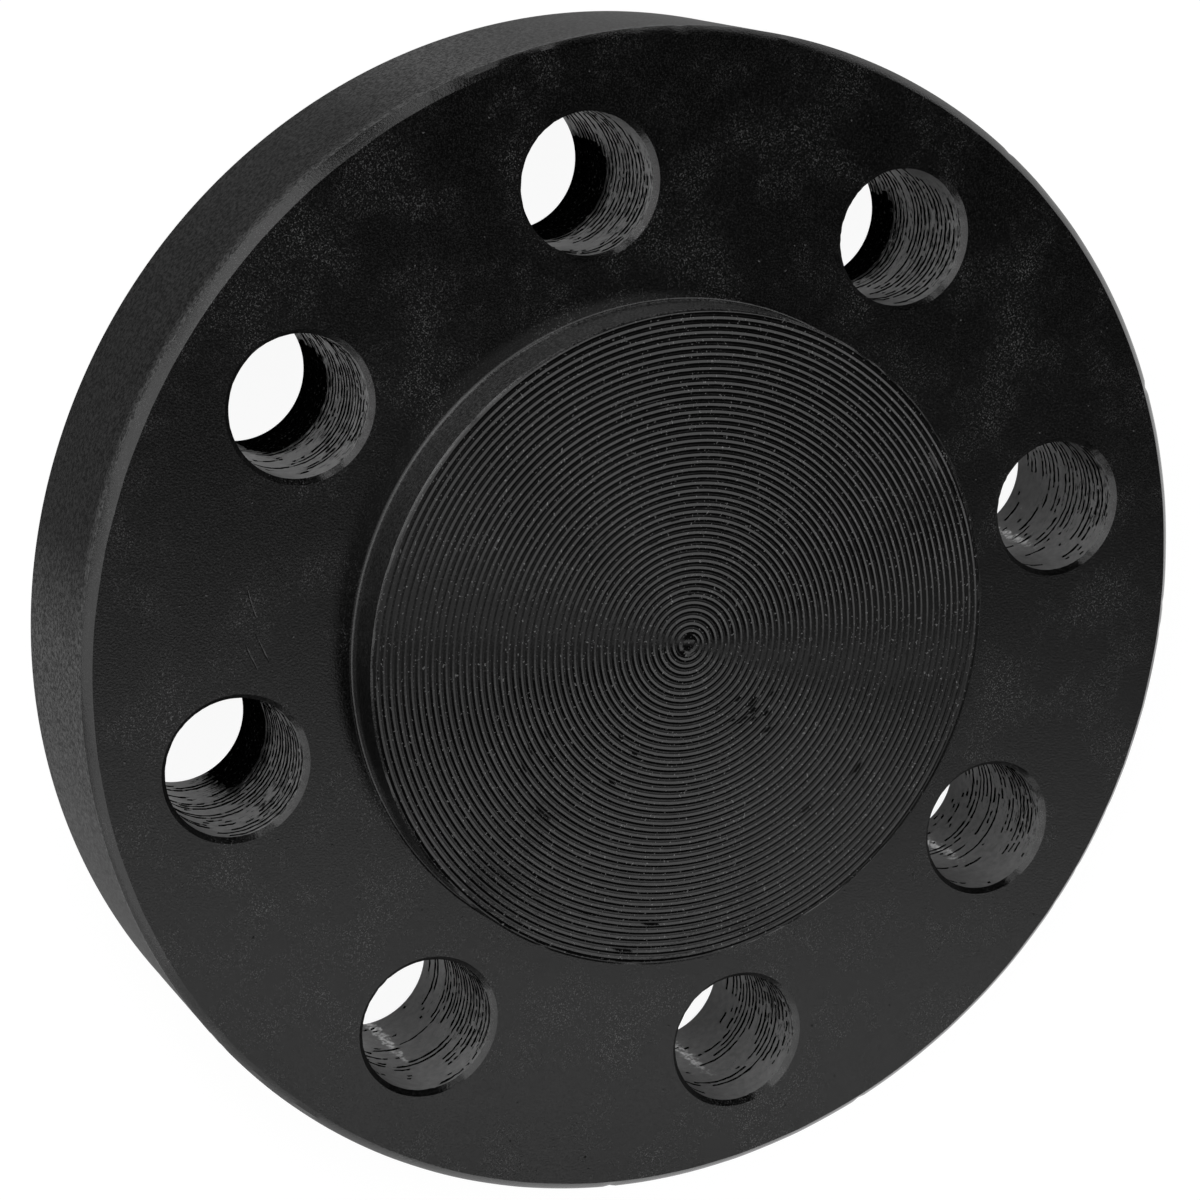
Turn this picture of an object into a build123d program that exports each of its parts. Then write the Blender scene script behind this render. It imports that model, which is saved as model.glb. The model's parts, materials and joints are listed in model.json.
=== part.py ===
from build123d import *
import os

# Blind pipe flange with a raised face, forged and turned in one piece.
# It lies on its flat back: the origin is the centre of the back face, and +Z runs along the
# axis of the pipe line, up through the raised face. Millimetres.

# The disc
THICKNESS = 27.0
FRONT_RIM_CHAMFER = 1.2
BACK_RIM_CHAMFER = 1.0

# The raised face that presses on the gasket
RAISED_DIAMETER = 92.1
RAISED_HEIGHT = 7.0
RAISED_EDGE_CHAMFER = 0.3
RAISED_ROOT_FILLET = 0.5

# The bolt holes, which straddle the centre lines, with the flat left between them and the raised
# face for the nuts, and the wall left between them and the rim
BOLT_COUNT = 8
BOLT_HOLE_DIAMETER = 19.05
BOLT_HOLE_CHAMFER = 0.7
FLAT_INSIDE_HOLES = 7.925
WALL_OUTSIDE_HOLES = 9.525
BOLT_CIRCLE_DIAMETER = RAISED_DIAMETER + 2 * FLAT_INSIDE_HOLES + BOLT_HOLE_DIAMETER
OUTSIDE_DIAMETER = BOLT_CIRCLE_DIAMETER + BOLT_HOLE_DIAMETER + 2 * WALL_OUTSIDE_HOLES

# The dimple where the tool stops
DIMPLE_DIAMETER = 3.0
DIMPLE_DEPTH = 0.3

# The gasket finish: one spiral groove, cut to the edge of the dimple by a tool that moves in by a
# feed each turn. Stock is left on the raised face for it.
TOOL_FEED = 0.975
GROOVE_DEPTH = 0.13
DIMPLE_OVERLAP = 0.1
FACING_ALLOWANCE = 0.5

outside_radius = OUTSIDE_DIAMETER / 2
raised_radius = RAISED_DIAMETER / 2
raised_top = THICKNESS + RAISED_HEIGHT

with BuildPart() as blind_flange:
    # Half of the section, from the axis out to the rim and back, with stock left on the raised face
    with BuildSketch(Plane.XZ) as section:
        with BuildLine():
            Polyline(
                (0, raised_top + FACING_ALLOWANCE),
                (0, 0),
                (outside_radius - BACK_RIM_CHAMFER, 0),
                (outside_radius, BACK_RIM_CHAMFER),
                (outside_radius, THICKNESS - FRONT_RIM_CHAMFER),
                (outside_radius - FRONT_RIM_CHAMFER, THICKNESS),
                (raised_radius + RAISED_ROOT_FILLET, THICKNESS),
            )
            root = TangentArc(
                (raised_radius + RAISED_ROOT_FILLET, THICKNESS),
                (raised_radius, THICKNESS + RAISED_ROOT_FILLET),
                tangent=(-1, 0),
            )
            Polyline(
                root @ 1,
                (raised_radius, raised_top - RAISED_EDGE_CHAMFER),
                (raised_radius - RAISED_EDGE_CHAMFER - FACING_ALLOWANCE, raised_top + FACING_ALLOWANCE),
                (0, raised_top + FACING_ALLOWANCE),
            )
        make_face()
    revolve(axis=Axis.Z)

    # The bolt holes, drilled through the disc and chamfered at both ends
    with Locations((0, 0, THICKNESS)):
        with PolarLocations(BOLT_CIRCLE_DIAMETER / 2, BOLT_COUNT, start_angle=180 / BOLT_COUNT):
            Hole(BOLT_HOLE_DIAMETER / 2)
    chamfer(blind_flange.edges(Select.LAST).filter_by(GeomType.CIRCLE), BOLT_HOLE_CHAMFER)

    # The spiral. Its half turns are cut about two centres half a feed apart, so that each ends
    # where the next begins, and seen from the front it widens clockwise by a feed in each turn.
    spiral_start = DIMPLE_DIAMETER / 2 - DIMPLE_OVERLAP
    turns = int((raised_radius - spiral_start) / TOOL_FEED) + 2
    for side in (1, -1):
        centre = side * TOOL_FEED / 4
        first_cusp = centre + spiral_start + (side - 1) * TOOL_FEED / 4
        last_cusp = first_cusp + turns * TOOL_FEED
        with BuildSketch(Plane.XZ) as waste:
            with BuildLine():
                Line((centre, raised_top), (first_cusp, raised_top))
                for turn in range(turns):
                    cusp = first_cusp + turn * TOOL_FEED
                    Polyline(
                        (cusp, raised_top),
                        (cusp + TOOL_FEED / 2, raised_top - GROOVE_DEPTH),
                        (cusp + TOOL_FEED, raised_top),
                    )
                Polyline(
                    (last_cusp, raised_top),
                    (last_cusp, raised_top + 2 * FACING_ALLOWANCE),
                    (centre, raised_top + 2 * FACING_ALLOWANCE),
                    (centre, raised_top),
                )
            make_face()
        revolve(axis=Axis((centre, 0, 0), (0, 0, side)), revolution_arc=180, mode=Mode.SUBTRACT)

    # The dimple at the centre, a shallow cap of a ball
    ball_radius = (DIMPLE_DEPTH**2 + (DIMPLE_DIAMETER / 2) ** 2) / (2 * DIMPLE_DEPTH)
    with Locations((0, 0, raised_top - DIMPLE_DEPTH + ball_radius)):
        Sphere(ball_radius, mode=Mode.SUBTRACT)

blind_flange.part.label = "blind_flange"

os.makedirs("parts", exist_ok=True)
export_step(blind_flange.part, "parts/blind_flange.step")
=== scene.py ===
"""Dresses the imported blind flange: its turned and drilled surfaces, its black coat, and a plain studio."""

import json
import math

import bmesh
import bpy
import numpy as np
from mathutils import Matrix, Vector
from mathutils.geometry import delaunay_2d_cdt


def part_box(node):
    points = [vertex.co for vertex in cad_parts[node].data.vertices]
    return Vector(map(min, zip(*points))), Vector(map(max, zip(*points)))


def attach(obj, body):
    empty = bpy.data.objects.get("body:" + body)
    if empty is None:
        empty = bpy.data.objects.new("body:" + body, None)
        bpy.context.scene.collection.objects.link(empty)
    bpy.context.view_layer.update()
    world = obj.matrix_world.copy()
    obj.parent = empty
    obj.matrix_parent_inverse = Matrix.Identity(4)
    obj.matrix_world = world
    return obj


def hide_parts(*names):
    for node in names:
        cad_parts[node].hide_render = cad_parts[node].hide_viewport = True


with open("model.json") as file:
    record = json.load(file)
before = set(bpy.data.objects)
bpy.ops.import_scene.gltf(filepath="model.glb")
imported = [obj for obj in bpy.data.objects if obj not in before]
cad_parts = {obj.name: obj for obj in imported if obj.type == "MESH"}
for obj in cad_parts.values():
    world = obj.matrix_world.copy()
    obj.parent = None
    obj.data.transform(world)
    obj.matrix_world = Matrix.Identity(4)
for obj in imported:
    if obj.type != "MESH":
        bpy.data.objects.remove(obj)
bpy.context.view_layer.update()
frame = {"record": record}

NODE = "blind_flange"
rng = np.random.default_rng(8602)

# Sizes that come from the frame, in metres
_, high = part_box(NODE)
bolts = next(m for m in frame["record"]["mounts"] if m["name"] == "bolt_circle")["dims"]
OUTSIDE_RADIUS = high[0]
RAISED_TOP = high[2]
BOLT_CIRCLE_RADIUS = bolts["pcd_mm"] / 2 / 1000
BOLT_COUNT = bolts["count"]
HOLE_RADIUS = bolts["hole_r_mm"] / 1000

# The disc and its raised face
MM = 0.001
DISC_TOP = 27.0 * MM
FRONT_RIM_CHAMFER = 1.2 * MM
BACK_RIM_CHAMFER = 1.0 * MM
HOLE_CHAMFER = 0.7 * MM
RAISED_RADIUS = 46.05 * MM
RAISED_EDGE_CHAMFER = 0.3 * MM
RAISED_ROOT_FILLET = 0.5 * MM

# The gasket finish. The groove's outline runs from one cusp to the next, in shares of its feed and its depth.
DIMPLE_RADIUS = 1.5 * MM
DIMPLE_DEPTH = 0.3 * MM
GROOVE_FEED = 0.975 * MM
GROOVE_DEPTH = 0.13 * MM
GROOVE_RUN_OUT = math.radians(146)
GROOVE_SHARES = (0.0, 0.34, 0.5, 0.66, 1.0)
GROOVE_DEPTHS = (0.0, 0.93, 1.0, 0.93, 0.0)

# How finely each surface is divided
RIM_STEPS = 512
RIM_ROWS = 9
TURN_STEPS = 224
DIMPLE_RINGS = (0.88, 0.7, 0.5, 0.28)
WALL_RINGS = (0.15, 0.4, 0.65, 0.9)
FILLET_STEPS = 8
HOLE_STEPS = 104
HOLE_ROWS = 48
SCRATCH_STEPS = 8
PIT_CORNERS = 6

# Materials, by their place in the mesh's list
FACE, GROOVES, RIM, BORE, TORN_AND_PAINTED_SHADE = range(5)

# Wear of the gasket finish, with depths and heights in shares of the groove's depth
NICK_COUNT = 10
NICK_LONGEST = 2
NICK_DEPTHS = (0.03, 0.07)
BEAD_COUNT = 260
BEAD_HEIGHTS = (0.02, 0.06)
GROOVE_GRAIN = 0.014
GROOVE_DEEPEST = 1.2
CREST_WANDER = 0.009 * MM

# A scuffed patch in the gasket finish: the distances from its centre where it begins and is full, and how far
# it draws crests and roots towards half the depth
SCUFF_CENTRE = (9.5 * MM, 12.0 * MM)
SCUFF_REACH = (8.4 * MM, 2.4 * MM)
SCUFF_FILLING = (0.04, 0.14)

# The raised face's wall: nicks in its edge, waves in its side, and the direction in degrees of its grey wear
EDGE_NICKS = (0.03 * MM, 0.12 * MM)
EDGE_NICK_CHANCE = 0.12
WALL_WAVES = range(20, 60, 5)
WALL_WANDER = 0.012 * MM
WALL_WEAR_TURN = 205
WALL_WEAR_LEAST = 0.06

# The rim: nicks in its front edge, waves in its chamfer and its side, and how far in and down the middle of
# the front chamfer lies, in shares of the chamfer
RIM_NICKS = (0.05 * MM, 0.2 * MM)
RIM_NICK_CHANCE = 0.04
CHAMFER_WAVES = range(9, 40, 3)
CHAMFER_WANDER = 0.05 * MM
RIM_WAVES = range(12, 90, 6)
RIM_WANDER = 0.02 * MM
CHAMFER_MIDDLE = (0.45, 0.48)

# How much painted shade darkens the rim, from 0 to 1, by the direction in degrees: darkest where the rim
# faces the camera, and uneven round the rest
RIM_PAINTED_SHADE = {
    0: 0.2, 160: 0.4, 190: 0.65, 200: 0.45, 212: 0.15, 222: 0.85,
    250: 1.0, 269: 1.0, 279: 0.1, 296: 0.1, 310: 0.65, 340: 0.3,
}

# How each bore is worn, and the light painted in it. First its torn rings: how many, the side where the drill
# dragged, and how fast they fade with depth. Then either the direction of a painted highlight, a bright band,
# or
# the painted shade in black in the bore: how black it is, its direction, its spread to either side, and the
# shares of the depth at which it begins and is full. Directions and spreads are in degrees.
BORE_WEAR_AND_PAINTED_LIGHT = [
    {"rings": 115, "drag": 128, "fade": 2.2, "band": 16},
    {"rings": 115, "drag": 128, "fade": 2.2, "band": 27},
    {"rings": 120, "drag": 118, "fade": 2.0, "band": 34},
    {"rings": 210, "drag": 95, "fade": 1.3, "black": 0.75, "side": 65, "spread": 85, "deep": (0.45, 0.8)},
    {"rings": 170, "drag": 85, "fade": 1.3, "black": 1.0, "side": 60, "spread": 85, "deep": (0.35, 0.7)},
    {"rings": 170, "drag": 90, "fade": 1.3, "black": 1.0, "side": 65, "spread": 85, "deep": (0.4, 0.75)},
    {"rings": 210, "drag": 80, "fade": 1.3, "black": 0.9, "side": 85, "spread": 75, "deep": (0.35, 0.7)},
    {"rings": 150, "drag": 112, "fade": 1.6, "band": 16},
]

# The rows of a bore's wall: thin ones that can tear, between thick ones that stay smooth. Their points wander
# up and down, along the row in shares of half a step, and in and out. The first row is ragged at the mouth.
THIN_ROW = 0.5
THICK_ROW = 1.5
ROW_SPREAD = (0.8, 1.2)
ROW_WANDER = 0.05 * MM
STEP_WANDER = 0.42
BORE_WANDER = 0.004 * MM
MOUTH_RAGGED = 0.16 * MM

# The torn rings: how deep they are, how many lie on the drill's side, and how far they spread about it in
# degrees. Their rows follow a beta distribution whose second number is the bore's fade, and the logarithm of
# their lengths in steps has the mean and the spread given. Then how often a ring changes rows, how often it
# misses a step, and how often a step is torn by itself.
TEAR_DEPTH = 0.12 * MM
TEAR_SPREAD = (0.5, 1.2)
DRAG_SHARE = 0.85
DRAG_SPREAD = 32
RING_BETA = 1.1
RING_LENGTH = (1.75, 0.8)
RING_LONGEST = 44
JUMP_CHANCE = 0.04
MISS_CHANCE = 0.1
STRAY_CHANCE = 0.02

# Fine tearing: how strong it is, and how many degrees from the drill's side it begins and is full
TEARING = 0.36
TEARING_REACH = (76.5, 31.5)

# A painted highlight, a bright band in the bore: the degrees from its middle, and the shares of the depth,
# where it begins and is full
BAND_REACH = (8, 3)
BAND_DEPTHS = (0.22, 0.52)

# The wear above which painted shade in matt black covers a thick row, and the range of it for the faces of
# the thin rows
PAINTED_SHADE_LIMIT = 0.66
THIN_PAINTED_SHADE_LIMITS = (0.3, 0.75)

# Scratches on the front of the disc, from and to, in millimetres
SCRATCHES = [
    ((-0.1, -61.7), (4.3, -59.4)),
    ((5.8, -59.6), (9.8, -56.7)),
    ((7.4, -60.6), (10.9, -58.1)),
]
SCRATCH_WIDTH = 0.32 * MM
SCRATCH_DEPTH = 0.1 * MM
SCRATCH_UNEVEN = (0.7, 1.3)
SCRATCH_BOW = 0.1 * MM
SCRATCH_PLACES = 12

# Pits in the front of the disc, and how far they keep from the raised face, the rim, the holes, the scratches
# and each other
PIT_COUNT = 260
PIT_RADII = (0.07 * MM, 0.2 * MM)
PIT_DEPTHS = (0.02 * MM, 0.09 * MM)
PIT_UNEVEN = 0.12
RAISED_GAP = 2.0 * MM
RIM_GAP = 3.0 * MM
HOLE_GAP = 1.5 * MM
SCRATCH_GAP = 0.8 * MM
PIT_GAP = 0.2 * MM

# Two faces that meet at more than this make a sharp edge
SHARP_ANGLE = math.radians(14)

# The studio
CEILING_HEIGHT = 1.6
PANEL_DISTANCE = 1.6
PANEL_FOOT = 0.05
PANEL_AIM = (0.0, 0.0, 0.03)
FLOOR_HALF = 3.0


class Skin:
    """Gathers points and faces, each face with its own material, into one mesh."""

    def __init__(self):
        self.points = []
        self.count = 0
        self.faces = []
        self.materials = []
        self.wear_and_painted_light = []

    def add(self, points, wear_and_painted_light=0.0):
        """Adds points and returns their numbers in the shape of the array given.

        The wear is for the coats. On the rim it is how much painted shade darkens it; in a bore it is fine
        tearing and painted shade in black, or -1 where a painted highlight makes a bright band; and on the
        raised face's wall it is how grey the metal is worn.
        """
        points = np.asarray(points, float)
        self.wear_and_painted_light.append(np.broadcast_to(wear_and_painted_light, points.shape[:-1]).ravel())
        numbers = np.arange(points[..., 0].size).reshape(points.shape[:-1]) + self.count
        self.points.append(points.reshape(-1, 3))
        self.count += numbers.size
        return numbers

    def quads(self, a, b, c, d, material):
        """Adds a face for each set of four numbers, and leaves out corners that coincide."""
        kinds = np.broadcast_to(material, a.shape).ravel()
        for *corners, kind in zip(a.ravel(), b.ravel(), c.ravel(), d.ravel(), kinds):
            corners = list(dict.fromkeys(int(n) for n in corners))
            if len(corners) > 2:
                self.faces.append(corners)
                self.materials.append(int(kind))

    def strip(self, rings, material):
        """Joins closed rings of numbers, each to the one after it."""
        rings = np.concatenate([rings, rings[:, :1]], axis=1)
        self.quads(rings[:-1, :-1], rings[:-1, 1:], rings[1:, 1:], rings[1:, :-1], material)

    def sheet(self, rows, material):
        """Joins open rows of numbers, each to the one before it."""
        self.quads(rows[1:, :-1], rows[1:, 1:], rows[:-1, 1:], rows[:-1, :-1], material)

    def fan(self, ring, tip, material):
        """Joins a closed ring of numbers to one new point."""
        number = np.broadcast_to(self.add([tip]), ring.shape)
        self.quads(ring, np.roll(ring, -1), number, number, material)

    def mesh(self, name):
        """The mesh of all that was added."""
        mesh = bpy.data.meshes.new(name)
        mesh.from_pydata(np.concatenate(self.points).tolist(), [], self.faces)
        mesh.polygons.foreach_set("material_index", self.materials)
        wear_and_painted_light = mesh.attributes.new("wear_and_painted_light", "FLOAT", "POINT")
        wear_and_painted_light.data.foreach_set("value", np.concatenate(self.wear_and_painted_light))
        mesh.validate()
        return mesh


def polar(angle, radius, height):
    """Points about the flange's axis."""
    return np.stack([radius * np.cos(angle), radius * np.sin(angle), height], axis=-1)


def circle(radius, height, steps, centre=(0.0, 0.0), turn=0.0):
    """Points of a level circle, anticlockwise seen from the front."""
    angle = turn + np.linspace(0, 2 * np.pi, steps, endpoint=False)
    x = centre[0] + radius * np.cos(angle)
    y = centre[1] + radius * np.sin(angle)
    return np.stack([x, y, np.broadcast_to(height, steps)], axis=-1)


def waves(angle, counts, size):
    """A gentle wandering around a circle, of about the size given."""
    total = np.zeros_like(angle)
    for count in counts:
        total += rng.normal() * np.cos(count * angle + rng.uniform(0, 2 * np.pi))
    return total * size / math.sqrt(len(counts))


def nicks(chance, depths, steps):
    """How deep an edge is nicked at each step round it: 0 where it isn't."""
    return np.where(rng.random(steps) < chance, rng.uniform(*depths, steps), 0.0)


def degrees_off(angle, direction):
    """How far angles in radians are from a direction in degrees, in degrees."""
    return np.abs((np.degrees(angle) - direction + 180) % 360 - 180)


def between(value, none, full):
    """How far a value has come from none to full, as a share from 0 to 1."""
    return np.clip((value - none) / (full - none), 0, 1)


def groove_height(across):
    """Height in the gasket finish, from the cusp at 0 to the next at 1."""
    return RAISED_TOP - GROOVE_DEPTH * np.interp(across, GROOVE_SHARES, GROOVE_DEPTHS)


def wear_grooves(points, angle):
    """Wears the gasket finish: nicked and wandering crests, beads in the grooves, and a scuffed patch."""
    rows, columns = points.shape[:2]
    crest = points[:, 0]
    for _ in range(NICK_COUNT):
        start = rng.integers(0, rows)
        length = int(rng.integers(1, NICK_LONGEST + 1))
        crest[start:start + length, 2] -= rng.uniform(*NICK_DEPTHS) * GROOVE_DEPTH
    for _ in range(BEAD_COUNT):
        start = rng.integers(0, rows)
        column = rng.integers(1, columns)
        points[start, column, 2] += rng.uniform(*BEAD_HEIGHTS) * GROOVE_DEPTH
    away = np.hypot(points[..., 0] - SCUFF_CENTRE[0], points[..., 1] - SCUFF_CENTRE[1])
    filling = between(away, *SCUFF_REACH) * rng.uniform(*SCUFF_FILLING, away.shape)
    points[..., 2] += filling * (RAISED_TOP - 0.5 * GROOVE_DEPTH - points[..., 2])
    points[..., 2] += rng.normal(0, GROOVE_GRAIN, away.shape) * GROOVE_DEPTH
    shift = rng.normal(0, CREST_WANDER, rows)
    crest[:, 0] += shift * np.cos(angle)
    crest[:, 1] += shift * np.sin(angle)
    points[..., 2] = np.clip(points[..., 2], RAISED_TOP - GROOVE_DEEPEST * GROOVE_DEPTH, RAISED_TOP)


def dimple(skin, mouth, angle):
    """The dimple where the tool stopped: a cap of a ball, inside its mouth's numbers at the angles given."""
    ball_radius = (DIMPLE_DEPTH**2 + DIMPLE_RADIUS**2) / (2 * DIMPLE_DEPTH)
    bottom = RAISED_TOP - DIMPLE_DEPTH
    rings = [mouth]
    for share in DIMPLE_RINGS:
        radius = DIMPLE_RADIUS * share
        height = bottom + ball_radius - math.sqrt(ball_radius**2 - radius**2)
        rings.append(skin.add(polar(angle, radius, np.full(angle.size, height))))
    skin.strip(np.stack(rings), GROOVES)
    skin.fan(rings[-1], (0.0, 0.0, bottom), GROOVES)


def gasket_face(skin):
    """The spiral groove, from the dimple to the raised face's edge. Returns the edge circle's numbers."""
    edge_radius = RAISED_RADIUS - RAISED_EDGE_CHAMFER
    steps = round((edge_radius - DIMPLE_RADIUS) / GROOVE_FEED * TURN_STEPS)
    feed = (edge_radius - DIMPLE_RADIUS) * TURN_STEPS / steps
    start = GROOVE_RUN_OUT + 2 * np.pi * steps / TURN_STEPS
    along = np.arange(steps + 1)
    angle = start - 2 * np.pi * along / TURN_STEPS
    cusp_radius = DIMPLE_RADIUS + feed * along / TURN_STEPS
    share = np.array(GROOVE_SHARES[:-1])

    # Whole grooves, and the last turn, which the edge cuts short
    width = np.minimum(feed, edge_radius - cusp_radius)
    across = width[:, None] / feed * share
    points = polar(angle[:, None], cusp_radius[:, None] + feed * across, groove_height(across))
    wear_grooves(points[1:-1], angle[1:-1])
    line = skin.add(points)
    last = np.arange(steps - TURN_STEPS + 1, steps)
    edge_height = groove_height((edge_radius - cusp_radius[last]) / feed)
    edge_numbers = skin.add(polar(angle[last], np.full(last.size, edge_radius), edge_height))
    line[steps, :] = line[steps, 0]
    outer = np.concatenate([line[TURN_STEPS:, 0], edge_numbers, line[steps:, 0]])
    skin.sheet(np.concatenate([line, outer[:, None]], axis=1), GROOVES)

    # The first turn, which widens between the dimple and the first cusp
    first = np.arange(TURN_STEPS + 1)
    width = cusp_radius[first] - DIMPLE_RADIUS
    across = 1 - width[:, None] / feed * (1 - share)
    radius = cusp_radius[first][:, None] - feed * (1 - across)
    inner = skin.add(polar(angle[first][:, None], radius, groove_height(across)))
    inner[0, :] = line[0, 0]
    inner[-1, 0] = line[0, 0]
    rows = np.concatenate([inner, line[: TURN_STEPS + 1, :1]], axis=1)
    rows[-1, 1:-1] = line[0, 1:]
    skin.sheet(rows, GROOVES)

    dimple(skin, inner[:-1, 0], angle[:TURN_STEPS])
    return np.concatenate([edge_numbers, line[steps:, 0]])[::-1]


def raised_wall(skin, edge):
    """The raised face's chamfer, wall and root, from its edge circle down to the disc. Returns the root."""

    def ring(radius, height, wear_and_painted_light):
        return skin.add(circle(radius, height, TURN_STEPS, turn=GROOVE_RUN_OUT), wear_and_painted_light)

    angle = GROOVE_RUN_OUT + np.linspace(0, 2 * np.pi, TURN_STEPS, endpoint=False)
    wall_top = RAISED_TOP - RAISED_EDGE_CHAMFER
    wall_low = DISC_TOP + RAISED_ROOT_FILLET
    nick = nicks(EDGE_NICK_CHANCE, EDGE_NICKS, TURN_STEPS)
    facing = np.clip(np.cos(angle - math.radians(WALL_WEAR_TURN)), 0, 1) ** 2
    worn = WALL_WEAR_LEAST + (1 - WALL_WEAR_LEAST) * facing
    rings = [edge, ring(RAISED_RADIUS - nick, wall_top - nick, worn)]
    for share in WALL_RINGS:
        radius = RAISED_RADIUS - np.abs(waves(angle, WALL_WAVES, WALL_WANDER))
        rings.append(ring(radius, wall_top + share * (wall_low - wall_top), worn))
    # The wear ends halfway down the fillet
    for k in range(FILLET_STEPS + 1):
        bend = math.radians(90 * k / FILLET_STEPS)
        radius = RAISED_RADIUS + RAISED_ROOT_FILLET * (1 - math.cos(bend))
        height = DISC_TOP + RAISED_ROOT_FILLET * (1 - math.sin(bend))
        rings.append(ring(radius, height, worn if k <= FILLET_STEPS / 2 else 0.0))
    skin.strip(np.stack(rings)[::-1], FACE)
    return rings[-1]


def bolt_places():
    """Where the bolt holes' axes are."""
    angles = [math.pi / BOLT_COUNT + 2 * math.pi * k / BOLT_COUNT for k in range(BOLT_COUNT)]
    return [(BOLT_CIRCLE_RADIUS * math.cos(a), BOLT_CIRCLE_RADIUS * math.sin(a)) for a in angles]


def inside(points, outline):
    """Which of the points lie inside a closed outline."""
    hits = np.zeros(len(points), bool)
    for (x0, y0), (x1, y1) in zip(outline, np.roll(outline, -1, axis=0)):
        if y0 == y1:
            continue
        crosses = (points[:, 1] < y0) != (points[:, 1] < y1)
        hits ^= crosses & (points[:, 0] < x0 + (points[:, 1] - y0) * (x1 - x0) / (y1 - y0))
    return hits


def fill_face(skin, outer, holes, upward):
    """Fills the level area between an outer loop and the loops inside it."""
    loops = [outer] + holes
    points = np.concatenate(skin.points)
    numbers = np.concatenate(loops)
    flat = points[numbers][:, :2]
    starts = np.cumsum([0] + [len(loop) for loop in loops])
    edges = []
    for start, end in zip(starts[:-1], starts[1:]):
        edges += [(int(i), int(i) + 1) for i in range(start, end - 1)] + [(int(end) - 1, int(start))]
    filled = delaunay_2d_cdt([Vector(p) for p in flat.tolist()], edges, [], 0, 1e-9)
    vertices, _, triangles, origins = filled[:4]
    if len(vertices) != len(flat):
        raise ValueError("the level face got points that its outlines don't have")
    places = np.array([(v[0], v[1]) for v in vertices])
    centres = places[np.array(triangles)].mean(axis=1)
    keep = inside(centres, flat[: starts[1]])
    for start, end in zip(starts[1:-1], starts[2:]):
        keep &= ~inside(centres, flat[start:end])
    for triangle, kept in zip(triangles, keep):
        if kept:
            corners = [int(numbers[origins[i][0]]) for i in triangle]
            skin.faces.append(corners if upward else corners[::-1])
            skin.materials.append(FACE)


def pits(skin, taken):
    """Pits in the front of the disc, each a shallow crater clear of what's taken. Returns their outlines."""
    outlines = []
    taken = list(taken)
    nearest = RAISED_RADIUS + RAISED_GAP
    furthest = OUTSIDE_RADIUS - RIM_GAP
    while len(outlines) < PIT_COUNT:
        reach = math.sqrt(rng.uniform(nearest**2, furthest**2))
        angle = rng.uniform(0, 2 * math.pi)
        x, y = reach * math.cos(angle), reach * math.sin(angle)
        radius = rng.uniform(*PIT_RADII)
        if any(math.hypot(x - u, y - v) < radius + gap for u, v, gap in taken):
            continue
        taken.append((x, y, radius + PIT_GAP))
        ring = circle(radius, DISC_TOP, PIT_CORNERS, (x, y), rng.uniform(0, 1))
        ring[:, :2] += rng.normal(0, radius * PIT_UNEVEN, (PIT_CORNERS, 2))
        outline = skin.add(ring)
        skin.fan(outline, (x, y, DISC_TOP - rng.uniform(*PIT_DEPTHS)), FACE)
        outlines.append(outline)
    return outlines


def scratch(skin, start, end):
    """One scratch in the front of the disc, between places in millimetres. Returns its outline."""
    start, end = np.array(start) * MM, np.array(end) * MM
    along = (end - start) / np.linalg.norm(end - start)
    side = np.array([-along[1], along[0]])
    share = np.linspace(0, 1, SCRATCH_STEPS + 1)
    bow = np.sin(np.pi * share) * rng.uniform(-SCRATCH_BOW, SCRATCH_BOW)
    spine = start + share[:, None] * (end - start) + bow[:, None] * side
    inner = spine[1:-1]
    half = SCRATCH_WIDTH / 2 * np.sin(np.pi * share[1:-1]) ** 0.5 * rng.uniform(*SCRATCH_UNEVEN, len(inner))
    right = inner - half[:, None] * side
    left = inner + half[:, None] * side
    flat = np.concatenate([spine[:1], right, spine[-1:], left[::-1]])
    outline = skin.add(np.column_stack([flat, np.full(len(flat), DISC_TOP)]))
    bottom = skin.add(np.column_stack([inner, np.full(len(inner), DISC_TOP - SCRATCH_DEPTH)]))
    tip = outline[SCRATCH_STEPS:SCRATCH_STEPS + 1]
    middle = np.concatenate([outline[:1], bottom, tip])
    lower = outline[:SCRATCH_STEPS + 1]
    upper = np.concatenate([outline[:1], outline[:SCRATCH_STEPS - 1:-1]])
    skin.quads(lower[:-1], lower[1:], middle[1:], middle[:-1], FACE)
    skin.quads(middle[:-1], middle[1:], upper[1:], upper[:-1], FACE)
    return outline


def torn_rings(wear_and_painted_light):
    """Which faces of a bore's wall are torn: broken rings in its thin rows, most near the front."""
    torn = np.zeros((HOLE_ROWS - 1, HOLE_STEPS), bool)
    for _ in range(wear_and_painted_light["rings"]):
        middle = rng.normal(wear_and_painted_light["drag"], DRAG_SPREAD) if rng.random() < DRAG_SHARE else rng.uniform(0, 360)
        row = 2 * int((HOLE_ROWS / 2 - 3) * rng.beta(RING_BETA, wear_and_painted_light["fade"])) + 3
        length = int(min(RING_LONGEST, rng.lognormal(*RING_LENGTH))) + 1
        first = int(middle / 360 * HOLE_STEPS) - length // 2
        for k in range(length):
            if rng.random() < JUMP_CHANCE:
                row = int(np.clip(row + rng.choice((-2, 2)), 1, HOLE_ROWS - 3))
            torn[row, (first + k) % HOLE_STEPS] = rng.random() < 1 - MISS_CHANCE
    torn[1::2] |= rng.random(torn[1::2].shape) < STRAY_CHANCE
    return torn


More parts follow.
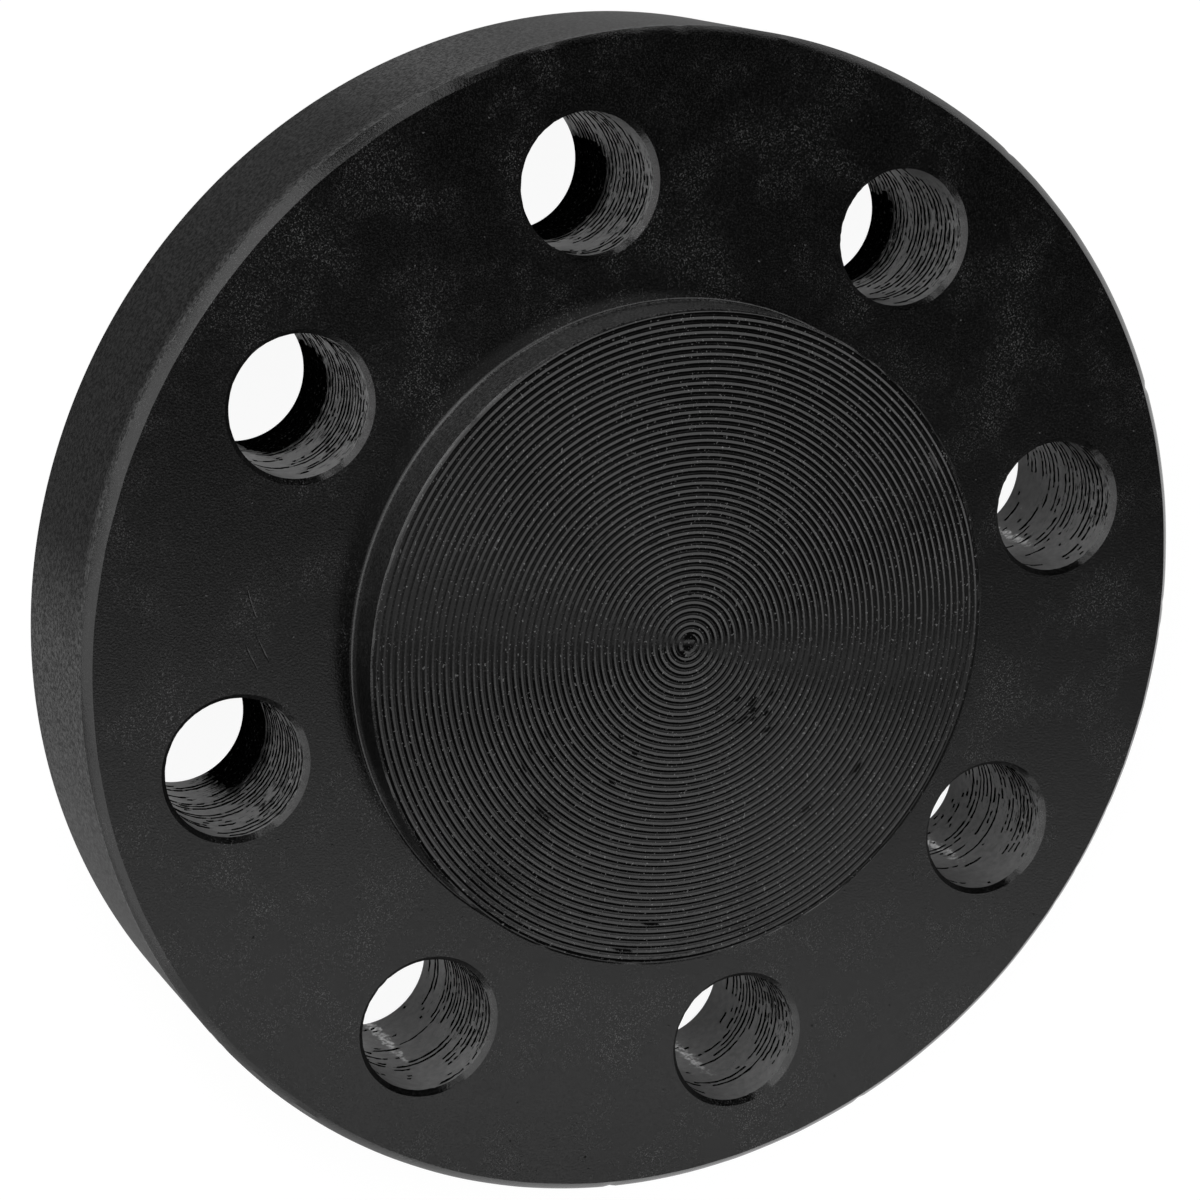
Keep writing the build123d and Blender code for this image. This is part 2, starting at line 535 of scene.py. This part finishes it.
def bore_wear_and_painted_light(angle, depth, wear_and_painted_light):
    """The wear of points on a bore's wall: fine tearing, with painted shade in black or a painted highlight
    band.
    """
    shallow = np.clip(1.3 - 0.7 * wear_and_painted_light["fade"] * depth, 0, 1)
    tearing = TEARING * between(degrees_off(angle, wear_and_painted_light["drag"]), *TEARING_REACH) * shallow
    # Painted shade in black, else a painted highlight band of negative wear
    if "black" in wear_and_painted_light:
        facing = np.clip(2.2 - 2.2 * degrees_off(angle, wear_and_painted_light["side"]) / wear_and_painted_light["spread"], 0, 1)
        return np.maximum(wear_and_painted_light["black"] * between(depth, *wear_and_painted_light["deep"]) * facing, tearing)
    return tearing - between(degrees_off(angle, wear_and_painted_light["band"]), *BAND_REACH) * between(depth, *BAND_DEPTHS)


def bore(skin, number, centre):
    """One drilled hole with its chamfers and the drill's torn rings. Returns its front and back mouths."""
    steps, rows = HOLE_STEPS, HOLE_ROWS
    bore_kind = BORE_WEAR_AND_PAINTED_LIGHT[number % len(BORE_WEAR_AND_PAINTED_LIGHT)]
    gaps = rng.uniform(*ROW_SPREAD, rows - 1) * np.where(np.arange(rows - 1) % 2, THIN_ROW, THICK_ROW)
    share = np.concatenate([[0], np.cumsum(gaps) / gaps.sum()])
    height = DISC_TOP - HOLE_CHAMFER - share * (DISC_TOP - 2 * HOLE_CHAMFER)
    height = np.repeat(height[:, None], steps, axis=1)
    angle = np.repeat(np.linspace(0, 2 * np.pi, steps, endpoint=False)[None, :], rows, axis=0)
    torn = torn_rings(bore_kind)
    # The upper edge of a torn face is sunk, so the face is a ledge, and the thick row above slopes out to it
    sunk = torn | np.roll(torn, 1, axis=1)
    radius = np.full((rows, steps), HOLE_RADIUS)
    radius[:-1] += TEAR_DEPTH * sunk * rng.uniform(*TEAR_SPREAD, sunk.shape)
    height[0] -= MOUTH_RAGGED * rng.random(steps) ** 2
    inner = slice(1, rows - 1)
    radius[inner] += rng.normal(0, BORE_WANDER, (rows - 2, steps))
    height[inner] += rng.normal(0, ROW_WANDER, (rows - 2, steps))
    angle[inner] += rng.normal(0, STEP_WANDER * np.pi / steps, (rows - 2, steps))
    x = centre[0] + radius * np.cos(angle)
    y = centre[1] + radius * np.sin(angle)
    wear_and_painted_light = bore_wear_and_painted_light(angle, share[:, None], bore_kind)
    wall = skin.add(np.stack([x, y, height], axis=-1), wear_and_painted_light)
    front = skin.add(circle(HOLE_RADIUS + HOLE_CHAMFER, DISC_TOP, steps, centre))
    back = skin.add(circle(HOLE_RADIUS + HOLE_CHAMFER, 0.0, steps, centre))
    # Painted shade in matt black covers every row deep in the bore, and breaks up into thin rings where it
    # begins
    limit = np.full((rows - 1, steps), PAINTED_SHADE_LIMIT)
    limit[1::2] = rng.uniform(*THIN_PAINTED_SHADE_LIMITS, limit[1::2].shape)
    plain = np.full((1, steps), FACE)
    kinds = np.concatenate([plain, np.where(torn | (wear_and_painted_light[:-1] > limit), TORN_AND_PAINTED_SHADE, BORE), plain])
    skin.strip(np.concatenate([front[None, :], wall, back[None, :]]), kinds)
    return front, back


def rim(skin):
    """The rim with its two chamfers, slightly uneven as forged. Returns its front and back circles."""
    angle = np.linspace(0, 2 * np.pi, RIM_STEPS, endpoint=False)
    nick = nicks(RIM_NICK_CHANCE, RIM_NICKS, RIM_STEPS)
    uneven = np.abs(waves(angle, CHAMFER_WAVES, CHAMFER_WANDER))
    middle_in, middle_down = [share * FRONT_RIM_CHAMFER for share in CHAMFER_MIDDLE]
    chamfer = [
        circle(OUTSIDE_RADIUS - FRONT_RIM_CHAMFER - uneven, DISC_TOP, RIM_STEPS),
        circle(OUTSIDE_RADIUS - middle_in - nick, DISC_TOP - middle_down, RIM_STEPS),
        circle(OUTSIDE_RADIUS - nick, DISC_TOP - FRONT_RIM_CHAMFER - uneven, RIM_STEPS),
    ]
    heights = np.linspace(DISC_TOP - FRONT_RIM_CHAMFER, BACK_RIM_CHAMFER, RIM_ROWS + 1)[1:]
    rings = []
    for z in heights[:-1]:
        hollow = np.abs(waves(angle, RIM_WAVES, RIM_WANDER))
        rings.append(circle(OUTSIDE_RADIUS - hollow, z, RIM_STEPS))
    rings.append(circle(OUTSIDE_RADIUS, heights[-1], RIM_STEPS))
    rings.append(circle(OUTSIDE_RADIUS - BACK_RIM_CHAMFER, 0.0, RIM_STEPS))
    # Painted shade round the rim, darkest where it faces the camera
    scale = np.interp(np.degrees(angle), list(RIM_PAINTED_SHADE), list(RIM_PAINTED_SHADE.values()), period=360)
    chamfer = skin.add(np.stack(chamfer))
    rings = skin.add(np.stack(rings), scale)
    skin.strip(chamfer[::-1], FACE)
    skin.strip(np.concatenate([rings[::-1], chamfer[-1:]]), RIM)
    return chamfer[0], rings[-1]


def clear_of_pits(places):
    """What the pits keep clear of, as x, y and distance: the bolt holes, and places along each scratch."""
    taken = [(x, y, HOLE_RADIUS + HOLE_GAP) for x, y in places]
    for start, end in SCRATCHES:
        for share in np.linspace(0, 1, SCRATCH_PLACES):
            x, y = (np.array(start) * (1 - share) + np.array(end) * share) * MM
            taken.append((x, y, SCRATCH_GAP))
    return taken


def build_flange():
    """The whole flange as one closed mesh."""
    skin = Skin()
    edge = gasket_face(skin)
    root = raised_wall(skin, edge)
    front_rim, back_rim = rim(skin)
    places = bolt_places()
    mouths = [bore(skin, number, place) for number, place in enumerate(places)]
    marks = [scratch(skin, start, end) for start, end in SCRATCHES]
    marks += pits(skin, clear_of_pits(places))
    fill_face(skin, front_rim, [root] + [front for front, back in mouths] + marks, True)
    fill_face(skin, back_rim, [back for front, back in mouths], False)
    return skin.mesh("flange")


def finish_mesh(mesh):
    """Turns every face outwards, and makes edges sharp where faces meet at an angle or a level face ends."""
    upright = 0.99999
    work = bmesh.new()
    work.from_mesh(mesh)
    bmesh.ops.recalc_face_normals(work, faces=work.faces)
    for face in work.faces:
        face.smooth = True
    for edge in work.edges:
        if len(edge.link_faces) == 2:
            level = [abs(face.normal.z) > upright for face in edge.link_faces]
            edge.smooth = edge.calc_face_angle(0.0) < SHARP_ANGLE and level[0] == level[1]
    work.to_mesh(mesh)
    work.free()


def grey(level):
    """An opaque grey of the level given."""
    return (level, level, level, 1.0)


class Coat:
    """A material whose colour and roughness come from noise in the object's own space."""

    def __init__(self, name):
        self.material = bpy.data.materials.new(name)
        self.material.use_nodes = True
        self.tree = self.material.node_tree
        self.shader = self.tree.nodes["Principled BSDF"]

    def even(self, socket, value):
        """Gives the shader a value that is the same all over."""
        self.shader.inputs[socket].default_value = value

    def link(self, value, socket):
        """Gives the shader a value that varies."""
        self.tree.links.new(value, self.shader.inputs[socket])

    def node(self, kind, **settings):
        """A new node with the settings given."""
        node = self.tree.nodes.new(kind)
        for name, value in settings.items():
            setattr(node, name, value)
        return node

    def noise(self, scale, detail=2.0, roughness=0.5, flatten=1.0):
        """Noise in the object's own space, its lumps flattened along Z by the factor given."""
        place = self.node("ShaderNodeTexCoord")
        mapping = self.node("ShaderNodeMapping")
        mapping.inputs["Scale"].default_value = (1.0, 1.0, flatten)
        node = self.node("ShaderNodeTexNoise")
        self.tree.links.new(place.outputs["Object"], mapping.inputs["Vector"])
        self.tree.links.new(mapping.outputs["Vector"], node.inputs["Vector"])
        node.inputs["Scale"].default_value = scale
        node.inputs["Detail"].default_value = detail
        node.inputs["Roughness"].default_value = roughness
        return node.outputs["Fac"]

    def wear_and_painted_light(self):
        """The mesh's own wear."""
        return self.node("ShaderNodeAttribute", attribute_name="wear_and_painted_light").outputs["Fac"]

    def ramp(self, factor, stops):
        """A ramp with two or more stops of place and grey."""
        node = self.node("ShaderNodeValToRGB")
        self.tree.links.new(factor, node.inputs["Fac"])
        elements = node.color_ramp.elements
        while len(elements) < len(stops):
            elements.new(0.5)
        for element, (place, level) in zip(elements, stops):
            element.position = place
            element.color = grey(level)
        return node.outputs["Color"]

    def combine(self, kind, first, second):
        """Two values, each a number or an output, joined by the kind of sum given."""
        node = self.node("ShaderNodeMath", operation=kind)
        for socket, value in zip(node.inputs, (first, second)):
            if isinstance(value, (int, float)):
                socket.default_value = value
            else:
                self.tree.links.new(value, socket)
        return node.outputs["Value"]

    def bump(self, height, distance, strength):
        """Fine unevenness that is too small for the mesh."""
        node = self.node("ShaderNodeBump")
        node.inputs["Distance"].default_value = distance
        node.inputs["Strength"].default_value = strength
        self.tree.links.new(height, node.inputs["Height"])
        self.link(node.outputs["Normal"], "Normal")


def face_coat():
    """Turned and blackened steel: near black, with fine grain, patches of pale specks, and grey wear."""
    coat = Coat("coat_face")
    cloud = coat.noise(80, detail=5, roughness=0.65)
    specks = coat.ramp(coat.noise(5200, detail=1), [(0.57, 0.0), (0.72, 0.09)])
    patches = coat.ramp(cloud, [(0.0, 0.0), (0.48, 0.06), (0.7, 1.0)])
    grain = coat.ramp(coat.noise(4400, detail=1), [(0.5, 0.0005), (0.72, 0.012)])
    rubbed_and_highlight = coat.ramp(coat.noise(2500, detail=5, roughness=0.8), [(0.42, 0.005), (0.6, 0.065)])
    worn = coat.combine("MULTIPLY", coat.wear_and_painted_light(), rubbed_and_highlight)
    pale = coat.combine("ADD", coat.combine("MULTIPLY", specks, patches), grain)
    coat.link(coat.combine("ADD", pale, worn), "Base Color")
    coat.link(coat.ramp(cloud, [(0.3, 0.13), (0.7, 0.19)]), "Roughness")
    coat.bump(coat.noise(3300, detail=3, roughness=0.6), distance=0.05 * MM, strength=0.5)
    return coat.material


def groove_coat():
    """The gasket finish: the same black, a little glossier, with specks."""
    coat = Coat("coat_grooves")
    specks = coat.ramp(coat.noise(2900, detail=1), [(0.68, 0.0), (0.74, 0.1)])
    coat.link(coat.combine("ADD", specks, 0.001), "Base Color")
    coat.link(coat.ramp(coat.noise(160, detail=3), [(0.3, 0.1), (0.7, 0.17)]), "Roughness")
    coat.bump(coat.noise(1800, detail=2, roughness=0.6), distance=0.04 * MM, strength=0.38)
    return coat.material


def rim_coat():
    """The rim, as forged: grainy and dull, and darker where painted shade lies on it."""
    coat = Coat("coat_rim")
    coat.even("Roughness", 0.45)
    coat.even("Metallic", 1.0)
    coat.even("Specular Tint", grey(0.5))
    grain = coat.ramp(coat.noise(1900, detail=4, roughness=0.8), [(0.42, 0.02), (0.5, 0.07), (0.59, 0.135)])
    # The painted shade darkens the rim's grain
    scale = coat.ramp(coat.wear_and_painted_light(), [(0.0, 1.0), (1.0, 0.25)])
    coat.link(coat.combine("MULTIPLY", grain, scale), "Base Color")
    coat.bump(coat.noise(1500, detail=4, roughness=0.7), distance=0.06 * MM, strength=0.4)
    return coat.material


def bore_coat():
    """The drilled wall: mid grey, with painted black shade in some bores and a painted highlight band in
    others.
    """
    coat = Coat("coat_bore")
    coat.even("Roughness", 0.45)
    coat.even("Specular IOR Level", 0.25)
    coat.even("Specular Tint", grey(0.5))
    # Where the wear is high, painted shade blackens the metal, in streaks round the bore; fine tearing adds
    # to it
    streaks = coat.combine("MULTIPLY", coat.noise(800, detail=4, roughness=0.7, flatten=4.0), 0.9)
    shade_and_tearing = coat.combine("ADD", coat.combine("MULTIPLY", coat.wear_and_painted_light(), 0.4), streaks)
    undarkened = coat.ramp(shade_and_tearing, [(0.6, 1.0), (0.66, 0.02)])
    metal = coat.ramp(coat.noise(900, detail=3, roughness=0.6), [(0.3, 0.12), (0.7, 0.18)])
    dull = coat.combine("MULTIPLY", metal, undarkened)
    # Where the wear is below 0, a painted highlight makes the metal bright and metallic, in flecks
    flecks = coat.combine("MULTIPLY", coat.noise(1500, detail=2, roughness=0.6), 0.9)
    rubbed_and_highlight = coat.combine("ADD", coat.combine("MULTIPLY", coat.wear_and_painted_light(), -0.3), flecks)
    bright = coat.ramp(rubbed_and_highlight, [(0.64, 0.0), (0.88, 0.3)])
    coat.link(coat.combine("ADD", dull, bright), "Base Color")
    shiny = coat.ramp(rubbed_and_highlight, [(0.64, 0.0), (0.72, 1.0)])
    coat.link(coat.combine("MAXIMUM", shiny, coat.combine("SUBTRACT", 1.0, undarkened)), "Metallic")
    coat.bump(coat.noise(1400, detail=3, roughness=0.6), distance=0.05 * MM, strength=0.4)
    return coat.material


def torn_and_painted_shade_coat():
    """Torn metal and painted shade in the bores: matt black, with a few pale specks."""
    coat = Coat("coat_torn_and_painted_shade")
    coat.even("Roughness", 0.6)
    coat.even("Specular IOR Level", 0.0)
    specks = coat.ramp(coat.noise(2400, detail=2), [(0.35, 0.0015), (0.6, 0.003), (0.7, 0.06)])
    coat.link(specks, "Base Color")
    return coat.material


def floor_coat():
    """A pale grey that the camera and mirror-like rays see as white."""
    coat = Coat("floor")
    coat.even("Roughness", 1.0)
    coat.even("Specular IOR Level", 0.0)
    coat.even("Base Color", grey(0.12))
    coat.even("Emission Color", grey(0.93))
    path = coat.node("ShaderNodeLightPath")
    seen = coat.combine("MAXIMUM", path.outputs["Is Camera Ray"], path.outputs["Is Glossy Ray"])
    coat.link(coat.combine("MAXIMUM", seen, path.outputs["Is Transmission Ray"]), "Emission Strength")
    return coat.material


def add_floor():
    """A level floor under the flange's back."""
    half = FLOOR_HALF
    corners = [(-half, -half, 0), (half, -half, 0), (half, half, 0), (-half, half, 0)]
    mesh = bpy.data.meshes.new("floor")
    mesh.from_pydata(corners, [], [(0, 1, 2, 3)])
    mesh.materials.append(floor_coat())
    floor = bpy.data.objects.new("floor", mesh)
    bpy.context.scene.collection.objects.link(floor)


def add_camera():
    """The photograph's viewpoint: above the flange, with the picture rolled about the line of sight."""
    place = Vector((-0.07858, -0.20651, 0.41497))
    aim = Vector((-0.00343, -0.01109, 0.027))
    roll = math.radians(119.77)
    data = bpy.data.cameras.new("camera")
    data.lens = 97.08
    data.sensor_width = 36.0
    data.clip_start = 0.01
    camera = bpy.data.objects.new("camera", data)
    turned = (aim - place).to_track_quat("-Z", "Y").to_matrix() @ Matrix.Rotation(roll, 3, "Z")
    camera.matrix_world = Matrix.Translation(place) @ turned.to_4x4()
    bpy.context.scene.collection.objects.link(camera)
    bpy.context.scene.camera = camera


def add_world():
    """A nearly dark room."""
    world = bpy.data.worlds.new("world")
    world.use_nodes = True
    world.node_tree.nodes["Background"].inputs["Color"].default_value = grey(0.02)
    bpy.context.scene.world = world


def add_area(name, place, aim, size, radiance):
    """A soft oblong light that faces aim and shines evenly, with the brightness given."""
    data = bpy.data.lights.new(name, "AREA")
    data.shape = "RECTANGLE"
    data.size, data.size_y = size
    data.energy = radiance * math.pi * size[0] * size[1]
    light = bpy.data.objects.new(name, data)
    light.location = place
    light.rotation_mode = "QUATERNION"
    light.rotation_quaternion = (Vector(aim) - Vector(place)).to_track_quat("-Z", "Y")
    light.visible_camera = False
    bpy.context.scene.collection.objects.link(light)


def add_ceiling_panel(name, across, along, radiance):
    """An oblong light overhead, between angles from the upright toward X and toward Y."""
    west, east = [CEILING_HEIGHT * math.tan(math.radians(angle)) for angle in across]
    south, north = [CEILING_HEIGHT * math.tan(math.radians(angle)) for angle in along]
    place = ((west + east) / 2, (south + north) / 2, CEILING_HEIGHT)
    add_area(name, place, (place[0], place[1], 0), (east - west, north - south), radiance)


def add_side_panel(turn, width, top, radiance):
    """An upright light beside the flange, in the direction given in degrees."""
    x = PANEL_DISTANCE * math.cos(math.radians(turn))
    y = PANEL_DISTANCE * math.sin(math.radians(turn))
    add_area(f"panel_{turn}", (x, y, top / 2 + PANEL_FOOT), PANEL_AIM, (width, top), radiance)


def add_lamps():
    """Lamps overhead, which the glossy front mirrors in soft steps, and lamps round the side for the rim."""
    add_ceiling_panel("strip_up", (-46, -17), (-36, 66), 1.6)
    for start, end, radiance in ((5, 8, 0.05), (8, 12, 0.18), (12, 16, 0.44), (16, 20, 0.75), (20, 27, 1.15)):
        add_ceiling_panel(f"strip_low_{start}", (start, end), (6, 49), radiance)
    for start, end, radiance in ((-17, -2, 1.3), (-2, 4, 1.0), (4, 14, 0.55), (14, 22, 0.2)):
        add_ceiling_panel(f"strip_near_{start}", (start, end), (-36, 2), radiance)
    add_ceiling_panel("strip_far_-17", (-17, -3), (47, 73), 1.4)
    for start, end, radiance in ((-3, 12, 1.0), (12, 30, 0.5), (30, 38, 0.2)):
        add_ceiling_panel(f"strip_far_{start}", (start, end), (52, 73), radiance)
    add_ceiling_panel("panel_mid", (-17, -7), (2, 13), 1.3)
    add_side_panel(-158, width=0.3, top=0.9, radiance=1.6)
    add_side_panel(-130, width=0.88, top=1.7, radiance=1.9)
    add_side_panel(-100, width=0.88, top=1.7, radiance=1.7)
    add_side_panel(-70, width=0.88, top=1.7, radiance=1.5)
    add_side_panel(-40, width=0.88, top=1.1, radiance=1.4)
    add_side_panel(-10, width=0.88, top=0.5, radiance=0.8)


flange_mesh = build_flange()
finish_mesh(flange_mesh)
for coat in (face_coat(), groove_coat(), rim_coat(), bore_coat(), torn_and_painted_shade_coat()):
    flange_mesh.materials.append(coat)
flange = bpy.data.objects.new("flange", flange_mesh)
bpy.context.scene.collection.objects.link(flange)
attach(flange, "root")
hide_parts(NODE)

add_camera()
add_floor()
add_world()
add_lamps()
bpy.context.scene.view_settings.view_transform = "Standard"
